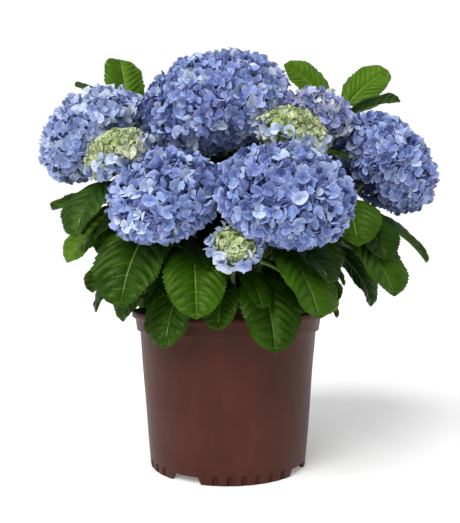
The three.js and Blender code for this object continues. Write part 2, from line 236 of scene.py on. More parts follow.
def turned(profile, columns):
    """A turned body whose profile runs from the axis under it, up its outside, to the axis over it."""
    rings = np.array(profile[1:-1], dtype=float)
    turn = np.linspace(0, 2 * math.pi, columns, endpoint=False)
    points = np.empty((len(rings), columns, 3))
    points[..., 0] = rings[:, :1] * np.sin(turn)
    points[..., 1] = -rings[:, :1] * np.cos(turn)
    points[..., 2] = rings[:, 1:]
    ends = [[0, 0, profile[0][1]], [0, 0, profile[-1][1]]]
    return np.vstack([points.reshape(-1, 3), ends]), ring_faces(len(rings), columns)


def wall_radius(height):
    return FOOT_RADIUS + (SHOULDER_RADIUS - FOOT_RADIUS) * height / SHOULDER_HEIGHT


outer_profile = [
    (0, 9), (60, 9), (90, 9), (91.3, 8.4), (91.5, 7), (91.5, 1.2), (92.2, 0.1), (94, 0), (96.4, 0),
    (97.3, 0.5), (97.6, 1.4), *((wall_radius(z), z) for z in np.arange(2.2, 14.1, 0.85)),
    *((wall_radius(z), z) for z in np.arange(18, 167, 8)), (111.0, 167.2), (111.5, 168.1), (114.2, 168.3),
    (115.0, 169.0), (115.1, 170.5), (116.0, 177), (116.8, 182.6), (117.3, 183.8), (119.8, 184.1),
    (120.8, 184.8), (121, 186), (121, 190.2), (120.5, 191.5), (119.3, 192),
]
inner_profile = [
    (118, 191.8), (117.2, 190.8), (116.4, 188), (109.2, 168), (108, 160), (94.9, 14), (93, 11.8),
    (50, 11.6), (0, 11.6),
]
pot_points, pot_faces = turned(outer_profile + inner_profile, POT_COLUMNS)
bands = len(outer_profile + inner_profile) - 1
ring_slots = np.arange(bands) >= len(outer_profile) - 1  # the lining takes the second finish

radius = np.hypot(pot_points[:, 0], pot_points[:, 1])
azimuth = np.degrees(np.arctan2(pot_points[:, 0], -pot_points[:, 1]))
height = pot_points[:, 2]
outside = (radius > 97) & (height < SHOULDER_HEIGHT)
dent = np.zeros(len(pot_points))
for gap_azimuth in GAP_AZIMUTHS:
    for place in np.arange(6) - 2.5:
        away = (azimuth - (gap_azimuth + ARCHES_FROM_GAP + place * ARCH_SPACING) + 180) % 360 - 180
        across = np.radians(away) * FOOT_RADIUS / ARCH_HALF_WIDTH
        top = np.sqrt(held(1 - across**2)) * ARCH_ROUND + ARCH_HEIGHT - ARCH_ROUND
        inside = held((1.15 - np.abs(across)) * 2.2) * held((top - height) / 1.2)
        dent = np.maximum(dent, inside)
turn = np.radians(azimuth)
swell = 0.25 * np.sin(turn * 5 + height * 0.03) + 0.2 * np.sin(turn * 3 - height * 0.05)
swell *= held(height / 40) * held((160 - height) / 30)
inward = np.where(outside, 1 + (swell - dent * ARCH_DEPTH) / np.maximum(radius, 1), 1)
pot_points[:, :2] *= inward[:, None]


def plastic(graph, dark, light, roughness):
    """Satin moulded plastic, a little scuffed up and down its wall."""
    broad = graph.noise(14, 3)
    fine = graph.noise(420, 3, 0.5)
    worn = graph.noise(60, 4, 0.25)
    return {
        "Base Color": graph.ramp(broad * 0.6 + worn * 0.4, (0.3, dark), (0.7, light)),
        "Roughness": worn * 0.16 + roughness,
        "Specular IOR Level": 0.25,
        "Specular Tint": (1, 0.78, 0.7, 1),
        "relief": fine + broad * 2,
        "depth": 0.12,
    }


pot_plastic = coat("pot plastic", plastic, dye(55, 24, 17), dye(76, 37, 28), roughness=0.38)
# The lining is painted shade: the pot's inside is the same plastic, given a grey-blue for its shaded inner
# lip.
pot_lining_painted_shade = coat("shaded pot lining", plastic, dye(50, 54, 64), dye(70, 74, 86), roughness=0.5)
pot = built("nursery_pot", pot_points, pot_faces, [pot_plastic, pot_lining_painted_shade], np.tile(ring_slots, POT_COLUMNS))
corners, blocks = [], []
for gap_azimuth in GAP_AZIMUTHS:
    outward, sideways = compass(gap_azimuth)
    first = len(corners)
    for depth in (84, 112):
        for half, z in ((GAP_HALF_WIDTH + 5.5, -4), (GAP_HALF_WIDTH, GAP_HEIGHT)):
            for way in (-1, 1):
                corners.append(outward * depth + sideways * half * way + UP * z)
    for face in ((0, 1, 3, 2), (4, 6, 7, 5), (0, 4, 5, 1), (2, 3, 7, 6), (0, 2, 6, 4), (1, 5, 7, 3)):
        blocks.append([first + i for i in reversed(face)])
cutter = built("drain_gap_cutter", corners, blocks, [pot_plastic])
cut = pot.modifiers.new("drain gaps", "BOOLEAN")
cut.operation = "DIFFERENCE"
cut.solver = "EXACT"
cut.object = cutter


def settled(piece):
    """Turns what a piece's modifiers make of it into its own plain mesh."""
    shaped = piece.evaluated_get(bpy.context.evaluated_depsgraph_get())
    mesh = bpy.data.meshes.new_from_object(shaped)
    piece.modifiers.clear()
    piece.data = mesh


settled(pot)
bpy.data.objects.remove(cutter)
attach(pot, "root")
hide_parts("pot")

# -------- the bark mix
# Damp composted bark fills the pot to just under its band. It is a lumpy bed of fine crumbs with loose
# chips of bark lying on it, a little lower round the edge.

MIX_TOP = 169
CHIPS_PER_SQUARE_METRE = 60000.0
LEVEL_ENOUGH = 0.6  # chips lie where the surface faces up at least this much


def lumps(points, size, seed):
    """A smooth uneven number from about -1 to 1 at each point, with lumps of the given size."""
    waves = np.random.default_rng(seed)
    ways = waves.normal(size=(9, 3)) * 2.2 / size
    return np.sin(points @ ways.T + waves.uniform(0, 6.28, 9)).sum(1) / 4.5


mix_profile = [(0, 150), (60, 150), (105.5, 150), (106.6, 156)]
mix_profile += [(107.2, 162), *((r, MIX_TOP - 5 * (r / 107) ** 3) for r in range(104, 2, -4)), (0, MIX_TOP)]
mix_points, mix_faces = turned(mix_profile, 120)
on_top = mix_points[:, 2] > 161
relief = 1.6 * lumps(mix_points, 16, 3) + 0.8 * lumps(mix_points, 6, 4)
mix_points[:, 2] += np.where(on_top, relief, 0)


def crumb_mix(graph):
    grain = graph.noise(900, 4)
    return {
        "Base Color": graph.ramp(grain, (0.35, dye(30, 24, 22)), (0.65, dye(84, 66, 54))),
        "Roughness": 0.92,
        "relief": grain + graph.noise(300),
        "depth": 1.2,
    }


def grained(graph, dark, light, scale=500, upright=0.3, stops=(0.3, 0.75), roughness=0.85, depth=0.5):
    """A grain from dark to light that also stands out, and is drawn out upwards where upright is small."""
    grain = graph.noise(scale, 3, upright)
    colour = graph.ramp(grain, (stops[0], dark), (stops[1], light))
    return {"Base Color": colour, "Roughness": roughness, "relief": grain, "depth": depth}


crumbs = coat("bark crumbs", crumb_mix)
chip_finishes = [
    coat("bark chip dark", grained, dye(40, 30, 26), dye(78, 58, 46)),
    coat("bark chip brown", grained, dye(62, 44, 34), dye(112, 84, 64)),
    coat("bark chip grey", grained, dye(58, 54, 52), dye(112, 104, 96)),
]
bed = built("bark_bed", mix_points, mix_faces, [crumbs])

# One chip is a splinter of bark: a six-sided flake with ragged ends.
chip_points, chip_faces = turned([(0, -0.5), (0.42, -0.42), (0.5, 0), (0.36, 0.4), (0, 0.5)], 6)
chip_points = chip_points * (5.5, 2.6, 1.5) + 0.35 * np.random.default_rng(5).normal(size=chip_points.shape)
chip = built("bark_chip", chip_points, chip_faces, [chip_finishes[0]])


def geometry_tree(name, numbers):
    """A geometry tree with a geometry socket and one named input for each number, its graph and inputs."""
    tree = bpy.data.node_groups.new(name, "GeometryNodeTree")
    for way in ("INPUT", "OUTPUT"):
        tree.interface.new_socket("Geometry", in_out=way, socket_type="NodeSocketGeometry")
    for label, value in numbers.items():
        kind = {int: "NodeSocketInt", float: "NodeSocketFloat"}.get(type(value), "NodeSocketObject")
        tree.interface.new_socket(label, in_out="INPUT", socket_type=kind)
    graph = Graph(tree)
    source = tree.nodes.new("NodeGroupInput")
    inputs = {socket.name: Wire(graph, socket) for socket in source.outputs if socket.name}
    return tree, graph, inputs


def grown(piece, tree, numbers):
    """Runs a geometry tree on a piece with its named inputs set, and keeps the result as its mesh."""
    modifier = piece.modifiers.new(tree.name, "NODES")
    modifier.node_group = tree
    for item in tree.interface.items_tree:
        if item.in_out == "INPUT" and item.name in numbers:
            modifier[item.identifier] = numbers[item.name]
    settled(piece)
    for extra in ("thick", "tint", "spin", "facing", "size", "kind", "bead"):
        if extra in piece.data.attributes:
            piece.data.attributes.remove(piece.data.attributes[extra])
    return piece


chip_inputs = {"Density": CHIPS_PER_SQUARE_METRE, "Seed": 7, "Chip": None}
chip_tree, graph, given = geometry_tree("bark chips strewn on a bed", chip_inputs)
upward = graph.node("GeometryNodeInputNormal")
level = graph.node("ShaderNodeSeparateXYZ", {0: upward}, 2)
lie = graph.node("FunctionNodeCompare", {0: level, 1: LEVEL_ENOUGH}, operation="GREATER_THAN")
scatter = {"Mesh": given["Geometry"], "Selection": lie, "Density": given["Density"], "Seed": given["Seed"]}
strewn = graph.node("GeometryNodeDistributePointsOnFaces", scatter)


def chance(graph, seed, low, high, kind="FLOAT_VECTOR"):
    """A seeded random vector or whole number for each point."""
    names = {"FLOAT_VECTOR": (0, 1, 0), "INT": (4, 5, 2)}[kind]
    sockets = {names[0]: low, names[1]: high, "Seed": seed}
    return graph.node("FunctionNodeRandomValue", sockets, names[2], data_type=kind)


tumble = chance(graph, 11, (-0.5, -0.5, 0), (0.5, 0.5, 6.28))
instances = {
    "Points": strewn,
    "Instance": graph.node("GeometryNodeObjectInfo", {"Object": given["Chip"]}, 4),
    "Rotation": graph.node("FunctionNodeEulerToRotation", {0: tumble}),
    "Scale": chance(graph, 12, (0.5, 0.5, 0.6), (1.9, 1.5, 1.2)),
}
placed = graph.node("GeometryNodeInstanceOnPoints", instances)
tinted = {"Geometry": placed, "Name": "tint", "Value": chance(graph, 13, 0, 2, "INT")}
tagged = graph.node("GeometryNodeStoreNamedAttribute", tinted, data_type="INT", domain="INSTANCE")
real = graph.node("GeometryNodeRealizeInstances", {"Geometry": tagged})


def dealt(graph, geometry, finishes):
    """Gives each face the finish whose number is its tint."""
    for number, finish in enumerate(finishes):
        geometry = graph.finished(geometry, "tint", number, finish)
    return geometry


graph.close(dealt(graph, real, chip_finishes))
chips = linked("bark_chips", bed.data.copy())
grown(chips, chip_tree, {**chip_inputs, "Chip": chip})
bpy.data.objects.remove(chip)
for piece in (bed, chips):
    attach(piece, "root")
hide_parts("bark_mix")

# -------- the crown and its canes
# A low woody crown sits on the mix, and a cane springs from it to each shoot. Both are last year's
# wood under thin tan bark that splits lengthwise.

CROWN_CENTRE = np.array([0, 0, 172.0])
CROWN_RADIUS = 36
CROWN_FOOT = 169.3
CROWN_REACH = 38.3  # where the canes begin, from the crown's centre
ROOTED = 6  # how deep in the crown the bark of a cane begins
CANE_RADIUS, CANE_TAPER, CANE_JOINT = 4.6, 1.2, 0.7
CANE_SHARE = 0.26  # how much of a shoot is woody
STEM_SHARE = 0.9  # a flower head's own stalk begins here
DOME_DEPTH = 0.72  # how far a head stands over its widest ring, as a share of its radius
BELLY_DEPTH = 0.52  # how far it hangs under that ring

# One row a shoot: the middle of its head or its tip, the head's radius, its lean from upright, and
# its leaf pairs, each [share of the shoot, azimuth, rise, droop, length, roll]. A lone leaf has lost
# its partner.
SHOOTS = {
    "front_right": ([58, -158, 318], 72, 32, [[0.42, 18, -42, 38, 94], [0.66, 26, -26, 48, 96]]),
    "front_left": ([-64, -136, 320], 64, 38, [[0.36, 332, -38, 42, 102], [0.62, 10, -30, 50, 92]]),
    "young_front": ([8, -170, 268], 28, 60, [[0.54, 340, -46, 34, 60], [0.7, 40, -30, 45, 56]]),
    "left": ([-164, -20, 407], 72, 40, [
        [0.7, 322, -8, 70, 108], [0.56, 262, 8, 26, 112, 0], [0.5, 288, -12, 46, 112, 30],
        [0.3, 292, -20, 55, 110]]),
    "right": ([194, 12, 377], 78, 40, [
        [0.56, 46, -24, 50, 114, 15], [0.72, 4, -4, 64, 100], [0.36, 10, -12, 50, 100],
        [0.66, 94, -14, 38, 126, 20], [0.43, 66, -27, 52, 100, 25], [0.72, 70, -25, 44, 92, 20],
        [0.3, 46, -28, 50, 85]]),
    "top": ([-14, -26, 442], 92, 26, [
        [0.42, 30, -10, 50, 95], [0.56, 350, 5, 55, 72], [0.68, 75, 10, 45, 95], [0.28, 6, -20, 50, 86]]),
    "young_left": ([-124, -96, 372], 40, 35, [
        [0.52, 354, -26, 50, 120], [0.32, 312, -30, 48, 100], [0.8, 275, -15, 60, 66]]),
    "young_right": ([72, -94, 396], 42, 28, [
        [0.5, 62, -14, 60, 96], [0.66, 110, 0, 55, 80], [0.32, 345, -15, 55, 72]]),
    "upper_right": ([112, -44, 431], 40, 30, [
        [0.8, 74, 6, 40, 54, 15], [0.62, 110, 5, 55, 80], [0.42, 95, -5, 55, 85]]),
    "leafy_left": ([-138, 60, 444], 0, 26, [
        [0.99, 205, 78, 20, 85, 0, "lone"], [0.99, 262, 46, 30, 78, 5], [0.7, 232, 5, 55, 95],
        [0.46, 250, -15, 50, 108]]),
    "leafy_right": ([150, 54, 448], 0, 30, [
        [0.99, 95, 53, 24, 77, 56], [0.9, 92, 36, 36, 84, 0, "lone"], [0.74, 150, 30, 45, 90],
        [0.46, 115, -15, 50, 108]]),
    "back_left": ([-84, 128, 382], 70, 36, [
        [0.72, 238, -15, 55, 105], [0.58, 200, -30, 50, 100], [0.4, 228, -25, 50, 105]]),
    "back_right": ([122, 128, 368], 66, 38, [
        [0.72, 100, -15, 55, 102], [0.58, 160, -30, 50, 100], [0.4, 132, -25, 50, 105]]),
    "back_top": ([20, 104, 424], 48, 26, [[0.66, 180, 30, 60, 76], [0.46, 155, -15, 50, 90]]),
    "back_low": ([14, 178, 304], 62, 48, [
        [0.36, 185, -35, 45, 95], [0.66, 225, -25, 50, 95], [0.56, 140, -30, 50, 95]]),
    "side_left": ([-96, 42, 252], 0, 65, [[0.97, 250, -10, 50, 92], [0.6, 210, -25, 50, 90]]),
    "side_right": ([106, 52, 252], 0, 65, [[0.97, 105, -10, 50, 92], [0.6, 150, -25, 50, 90]]),
}


def heading(azimuth, elevation):
    climb = math.radians(elevation)
    return compass(azimuth)[0] * math.cos(climb) + UP * math.sin(climb)


def unit(vector):
    return vector / np.linalg.norm(vector, axis=-1, keepdims=True)


class Shoot:
    """A shoot's path from the crown to the underside of its head, and the way that the head faces."""

    def __init__(self, name, middle, across, lean, pairs):
        self.name, self.across, self.pairs, self.leaves = name, across, pairs, []
        self.middle = np.array(middle, dtype=float)
        self.azimuth = math.degrees(math.atan2(middle[0], -middle[1]))
        self.facing = heading(self.azimuth, 90 - lean)
        away = unit(self.middle - CROWN_CENTRE)
        foot = CROWN_CENTRE + away * CROWN_REACH
        end = self.middle - self.facing * across * BELLY_DEPTH * 0.6
        reach = np.linalg.norm(end - foot) / 3
        self.knots = np.array([foot, foot + away * reach, end - self.facing * reach, end])

    def at(self, shares):
        t = np.asarray(shares, dtype=float)[:, None]
        a, b, c, d = self.knots
        return a * (1 - t) ** 3 + 3 * b * (1 - t) ** 2 * t + 3 * c * (1 - t) * t**2 + d * t**3


shoots = [Shoot(name, *row) for name, row in SHOOTS.items()]


def tube(path, radii, sides, bark):
    """A closed round limb along a path. bark(points) gives how far its skin stands out."""
    ahead = unit(np.gradient(path, axis=0))
    side = np.empty_like(path)
    side[0] = unit(np.cross(ahead[0], [0.3, 0.2, 1.0]))
    for i in range(1, len(path)):
        side[i] = unit(side[i - 1] - ahead[i] * (side[i - 1] @ ahead[i]))
    over = np.cross(ahead, side)
    turn = np.linspace(0, 2 * math.pi, sides, endpoint=False)
    round_it = side[:, None] * np.cos(turn)[:, None] + over[:, None] * np.sin(turn)[:, None]
    points = path[:, None] + round_it * radii[:, None, None]
    points += round_it * bark(points.reshape(-1, 3)).reshape(len(path), sides, 1)
    return np.vstack([points.reshape(-1, 3), path[:1], path[-1:]]), ring_faces(len(path), sides)


def bent(start, knee, end, steps):
    """A path that leaves its start towards the knee and comes to its end from it."""
    t = np.linspace(0, 1, steps)[:, None]
    return start * (1 - t) ** 2 + 2 * knee * t * (1 - t) + end * t**2


def gathered(parts):
    """Joins several sets of points and faces into one."""
    points, faces, count = [], [], 0
    for some, joins in parts:
        points.append(some)
        faces.extend([i + count for i in face] for face in joins)
        count += len(some)
    return np.vstack(points), faces


def split_bark(points):
    along = points * (1, 1, 0.18)
    return 0.28 * lumps(along, 1.6, 21) + 0.22 * lumps(points, 9, 22)


wood = coat("cane bark", grained, dye(92, 74, 52), dye(158, 136, 102))
dome = [(CROWN_RADIUS * math.cos(a), 172 + CROWN_RADIUS * math.sin(a)) for a in np.linspace(0, 1.5, 24)]
crown_profile = [*((r, CROWN_FOOT) for r in (0, 20, CROWN_RADIUS)), *dome, (0, 172 + CROWN_RADIUS)]
crown_points, crown_faces = turned(crown_profile, 120)
outward = unit(crown_points - CROWN_CENTRE)
knobbly = 1.3 * lumps(crown_points, 12, 31) + 0.5 * lumps(crown_points * (1, 1, 0.3), 3, 32)
crown_points += outward * np.where(crown_points[:, 2] > 170, knobbly, 0)[:, None]
crown = built("root_crown_bark", crown_points, crown_faces, [wood])
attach(crown, "root")
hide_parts("root_crown")

cane_parts = []
for shoot in shoots:
    first = -ROOTED / np.linalg.norm(shoot.knots[3] - shoot.knots[0])
    shares = np.linspace(first, CANE_SHARE + 0.004, 56)
    flare = 1 + 0.5 * np.exp(-((shares - first) / 0.035) ** 2)
    joints = sum(np.exp(-(((shares - place) / 0.012) ** 2)) for place in (0.09, 0.18, 0.255))
    radii = (CANE_RADIUS - CANE_TAPER * shares / CANE_SHARE) * flare + CANE_JOINT * joints
    cane_parts.append(tube(shoot.at(shares), radii, 22, split_bark))
canes = built("canes", *gathered(cane_parts), [wood])
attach(canes, "root")
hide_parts(*(f"cane_{shoot.name}" for shoot in shoots))

# -------- where the leaves grow
# Leaves stand in opposite pairs on their shoots. One rule places them: a leaf that would come too near
# the pot, a flower head, a limb or another leaf is turned a little, and left out where no turn helps.
# Smaller leaves then fill the shade inside by the same rule, each pair at right angles to the last.

TURNS = (0, 12, -12, 24, -24, 36, -36)
FOLD = math.radians(12)  # of each half of a blade, up from flat
HALF_WIDTH = 0.35  # of a blade, as a share of its length
STALK_LENGTH = 0.3  # as a share of the blade's
POT_ROOM, HEAD_ROOM, STEM_ROOM, LIMB_ROOM, LEAF_ROOM = 5, 3, 5, 6.5, 6.2
SMALLER_SHARES = (0.3, 0.38, 0.46, 0.54, 0.62, 0.7, 0.78, 0.86, 0.95)
SMALLER_ROOM = 0.6  # the share of every clearance that the smaller leaves keep
SMALLER_DROOP = 50
TALL, TIP_RISE = 430, 72  # a leafy shoot this tall bears its last small leaves nearly upright
# How light or dark the leaves of each pair are, from 0 to 5: partly each leaf's own green, partly painted
# light and shade, lighter for some leaves that face away from the lamp and darker for leaves under the heads.
LEAF_TONES_WITH_PAINTED_LIGHT = {
    "front_right": [2, 3], "front_left": [2, 3], "young_front": [2, 2], "left": [2, 2, 4, 1],
    "right": [3, 3, 2, 2, 1, 1, 5], "young_left": [2, 1, 1], "young_right": [1, 1, 1],
    "upper_right": [3, 1, 1], "leafy_left": [4, 2, 1, 1], "leafy_right": [4, 3, 1, 1], "top": [0, 0, 1, 0],
}


def seeded(seed):
    state = seed * 48271 % 2147483647
    while True:
        state = state * 16807 % 2147483647
        yield state / 2147483647


class Leaf:
    """A leaf: where it leaves its stem, its heading, and the bend of its blade."""

    def __init__(self, shoot, row, chances):
        share, azimuth, rise, droop, length, rolled = row
        self.inner = False
        self.size = length * (0.95 + 0.1 * chances[2])
        self.root = shoot.at([share])[0]
        self.azimuth = azimuth + (chances[0] - 0.5) * 8
        self.rise, self.droop = math.radians(rise), math.radians(droop)
        self.roll = math.radians(rolled * math.sin(math.radians(azimuth)) + (chances[1] - 0.5) * 14)
        self.base = self.root + heading(self.azimuth, rise / 2 + 30) * self.size * STALK_LENGTH

    def point(self, along, across, raised=0.0):
        """Points of the blade, along it from 0 to 1 and across it from -1 to 1."""
        along, across, raised = (np.asarray(grid)[..., None] for grid in (along, across, raised))
        now = self.rise - self.droop * along
        out = self.size / self.droop * (math.sin(self.rise) - np.sin(now))
        lift = self.size / self.droop * (np.cos(now) - math.cos(self.rise))
        ahead, side = compass(self.azimuth)
        half = across * blade_width(along) * self.size * HALF_WIDTH
        flat = half * math.cos(FOLD)
        up = np.abs(half) * math.sin(FOLD) + raised
        sideways = flat * math.cos(self.roll) - up * math.sin(self.roll)
        upwards = flat * math.sin(self.roll) + up * math.cos(self.roll)
        spine = self.base + ahead * out + UP * lift
        return spine + side * sideways + (UP * np.cos(now) - ahead * np.sin(now)) * upwards


def blade_width(along):
    """How wide a leaf is at a share of its length, as a share of its full width."""
    return held(np.sin(math.pi * held(along) ** 0.9)) ** 0.62


def in_head(shoot, points, clearance):
    if not shoot.across:
        return np.zeros(len(points), dtype=bool)
    away = points - shoot.middle
    height = away @ shoot.facing
    level = np.sqrt(np.clip((away**2).sum(1) - height**2, 0, None))
    return np.hypot(level, height / np.where(height > 0, DOME_DEPTH, BELLY_DEPTH)) < shoot.across + clearance


def in_pot(points):
    z = points[:, 2]
    wall = np.where(z > SHOULDER_HEIGHT, RIM_RADIUS, wall_radius(z))
    return (np.hypot(points[:, 0], points[:, 1]) < wall + POT_ROOM) & (z < POT_HEIGHT + POT_ROOM)


def nearer(points, others, clearance):
    """Whether any point comes nearer than the clearance to any of the others."""
    near = others[((others > points.min(0) - clearance) & (others < points.max(0) + clearance)).all(1)]
    return bool(len(near)) and bool((((points[:, None] - near[None]) ** 2).sum(2) < clearance**2).any())


grid_along, grid_across = np.meshgrid((np.arange(18) + 0.5) / 18, np.arange(11) / 5 - 1, indexing="ij")
limb_lines = {shoot: shoot.at(np.arange(49) / 48) for shoot in shoots}
taken = np.empty((0, 3))


def placed_leaf(shoot, row, chances, room):
    """The first turn of a leaf that finds room, or nothing. room shrinks every clearance."""
    global taken
    share, azimuth, *bend = row
    for turn in TURNS:
        leaf = Leaf(shoot, [share, azimuth + turn, *bend], chances)
        blade_grid = leaf.point(grid_along, grid_across).reshape(-1, 3)
        points = np.vstack([leaf.root * 0.3 + leaf.base * 0.7, blade_grid])
        if (
            in_pot(points).any()
            or any(in_head(other, points, HEAD_ROOM * room).any() for other in shoots)
            or any(
                nearer(points, line, room * (STEM_ROOM if limb is shoot else LIMB_ROOM))
                for limb, line in limb_lines.items()
            )
            or nearer(points, taken, LEAF_ROOM * room)
        ):
            continue
        taken = np.vstack([taken, points])
        shoot.leaves.append(leaf)
        return leaf
    return None


# Every first leaf of a pair is placed before any second one.
for opposite in (0, 180):
    for rank in range(7):
        for index, shoot in enumerate(shoots):
            if rank >= len(shoot.pairs) or (opposite and "lone" in shoot.pairs[rank]):
                continue
            numbers = seeded(2417 + index * 101 + rank * 13 + opposite)
            share, azimuth, rise, droop, length, *rolled = shoot.pairs[rank]
            row = [share, azimuth + opposite, rise, droop, length, rolled[0] if rolled else 0]
            leaf = placed_leaf(shoot, row, [next(numbers) for _ in range(3)], 1)
            if leaf:
                leaf.tone = LEAF_TONES_WITH_PAINTED_LIGHT.get(shoot.name, [2, 1, 1])[rank]
for number, share in enumerate(SMALLER_SHARES):
    for index, shoot in enumerate(shoots):
        numbers = seeded(9001 + index * 101 + number * 13)
        for opposite in (0, 90, 180, 270):
            chances = [next(numbers) for _ in range(3)]
            azimuth = shoot.azimuth + opposite + 45 * (number % 2) + 30 * (chances[0] - 0.5)
            at_top = share > 0.9 and shoot.middle[2] > TALL and not shoot.across
            if at_top and math.cos(math.radians(azimuth)) > 0:
                continue
            rise = TIP_RISE if at_top else 30 * share - 30
            row = [share, azimuth, rise, SMALLER_DROOP, 62 + 26 * chances[1], 0]
            leaf = placed_leaf(shoot, row, chances, SMALLER_ROOM)
            if leaf:
                leaf.inner = True
                # The smaller leaves inside take the two darkest greens, painted shade for the inside of the
                # bush; the upright ones at the top of a leafy shoot take a light green, painted light where
                # they face away from the lamp.
                leaf.tone = 4 if at_top else int(chances[2] > 0.6)

# -------- stems and leaf stalks
# Each cane runs on as a smooth green stem, thicker at each leaf pair. A leaf stalk leaves the stem on a
# swollen foot and runs on under the blade as its midrib.

STEM_RADIUS, STEM_TAPER, STEM_JOINT = 3.4, 0.9, 0.9
STALK_STEPS = 9

stem_inputs = {"Sides": 10, "Girth": 1.0}
stem_tree, graph, given = geometry_tree("round stems along lines", stem_inputs)
lines = graph.node("GeometryNodeMeshToCurve", {"Mesh": given["Geometry"]})
circle = graph.node("GeometryNodeCurvePrimitiveCircle", {"Resolution": given["Sides"], "Radius": 1.0})
girth = graph.told("thick", "FLOAT") * given["Girth"]
sweep = {"Curve": lines, "Profile Curve": circle, "Scale": girth, "Fill Caps": True}
swept = graph.node("GeometryNodeCurveToMesh", sweep)
graph.close(graph.node("GeometryNodeSetShadeSmooth", {"Geometry": swept}))


def stems(name, lines, finish, sides):
    """Round stems along lines, each a path with its radii."""
    points = np.vstack([path for path, _ in lines]) * 0.001
    ends = np.cumsum([len(path) for path, _ in lines])
    edges = [(i, i + 1) for i in range(len(points) - 1) if i + 1 not in ends]
    mesh = bpy.data.meshes.new(name)
    mesh.from_pydata(points.tolist(), edges, [])
    marked(mesh, "thick", np.concatenate([radii for _, radii in lines]) * 0.001)
    piece = grown(linked(name, mesh), stem_tree, {**stem_inputs, "Sides": sides})
    piece.data.materials.append(finish)
    return piece


streaks = dict(scale=300, upright=0.15, stops=(0.3, 0.7), roughness=0.5, depth=0.2)
stem_finish = coat("green stem", grained, dye(78, 104, 44), dye(128, 150, 78), **streaks)
mottles = dict(scale=350, upright=1, stops=(0.3, 0.7), roughness=0.45, depth=0)
stalk_finish = coat("leaf stalk", grained, dye(112, 142, 62), dye(156, 180, 96), **mottles)
stem_lines, stalk_lines = [], []
for shoot in shoots:
    shares = np.linspace(CANE_SHARE, 1.0, 60)
    radii = STEM_RADIUS - STEM_TAPER * (shares - CANE_SHARE) / (STEM_SHARE - CANE_SHARE)
    for share, *_ in shoot.pairs:
        radii = radii + STEM_JOINT * np.exp(-(((shares - share) / 0.014) ** 2))
    stem_lines.append((shoot.at(shares), np.clip(radii, 2.0, 5)))
    for leaf in shoot.leaves:
        knee = leaf.root + (leaf.base - leaf.root) * 0.55 + UP * 1.8
        stalk = bent(leaf.root, knee, leaf.base, STALK_STEPS)
        along = np.linspace(0, 0.86, 16)[1:]
        rib = leaf.point(along, np.zeros_like(along), -0.9 - 0.5 * (1 - along))
        swollen = 1.55 + 1.4 * np.exp(-((np.linspace(0, 1, STALK_STEPS) / 0.12) ** 2))
        radii = np.concatenate([swollen, 1.5 * (1 - along) + 0.25])
        stalk_lines.append((np.vstack([stalk, rib]), radii * math.sqrt(leaf.size / 100)))
stem_piece = stems("green_stems", stem_lines, stem_finish, 12)
stalk_piece = stems("leaf_stalks", stalk_lines, stalk_finish, 7)
for piece in (stem_piece, stalk_piece):
    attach(piece, "root")

# -------- the leaves
# Broad oval blades with toothed edges, deep green and glossy above and paler below. The side veins curve
# towards the tip, and the blade is quilted between them. Each blade is a thin closed skin.

VEINS = 7
VEIN_START, VEIN_SPACING = 0.05, 0.128
BLADE_THICKNESS = 0.6
RIDGE = 0.5  # how far the midrib sinks above and stands out below
SHARP = 1.3  # radians between the two sides of a thin edge
RIB_FINENESS, VEIN_FINENESS = 24, 4.5


class Skin:
    """The rows and columns of a blade's skin: an upper sheet and a lower one that meet at the edge."""

    def __init__(self, first, steps, last, columns):
        shares = [VEIN_START + (vein + step) * VEIN_SPACING for vein in range(VEINS) for step in steps]
        columns = np.concatenate([-np.array(columns[:0:-1]), columns])
        self.along, self.across = np.meshgrid([*first, *shares, *last], columns, indexing="ij")
        rows, width = self.along.shape
        upper = np.arange(rows * width).reshape(rows, width)
        lower = upper + rows * width
        upper[0], upper[-1] = upper[0, 0], upper[-1, 0]
        lower[0], lower[-1], lower[:, 0], lower[:, -1] = upper[0, 0], upper[-1, 0], upper[:, 0], upper[:, -1]
        halves = []
        for sheet in (upper, lower):
            faces = quads(sheet)[:, [0, 1, 2, 0, 2, 3]].reshape(-1, 3)
            halves.append(faces[[len(set(face)) == 3 for face in faces]])
        self.under = np.repeat([False, True], [len(faces) for faces in halves])
        self.used, faces = np.unique(np.vstack([halves[0], halves[1][:, ::-1]]), return_inverse=True)
        self.faces = faces.reshape(-1, 3)
        self.marks = [np.tile(grid.ravel(), 2)[self.used] for grid in (self.along, self.across)]


fine_skin = Skin(
    (0, 0.008, 0.02, 0.035), (0, 0.14, 0.33, 0.5, 0.67, 0.86), (0.946, 0.965, 0.984, 1.0),
    (0.0, 0.045, 0.17, 0.32, 0.48, 0.64, 0.8, 0.93, 1.0),
)
plain_skin = Skin((0, 0.02), (0, 0.33, 0.67), (0.96, 1.0), (0.0, 0.3, 0.65, 1.0))


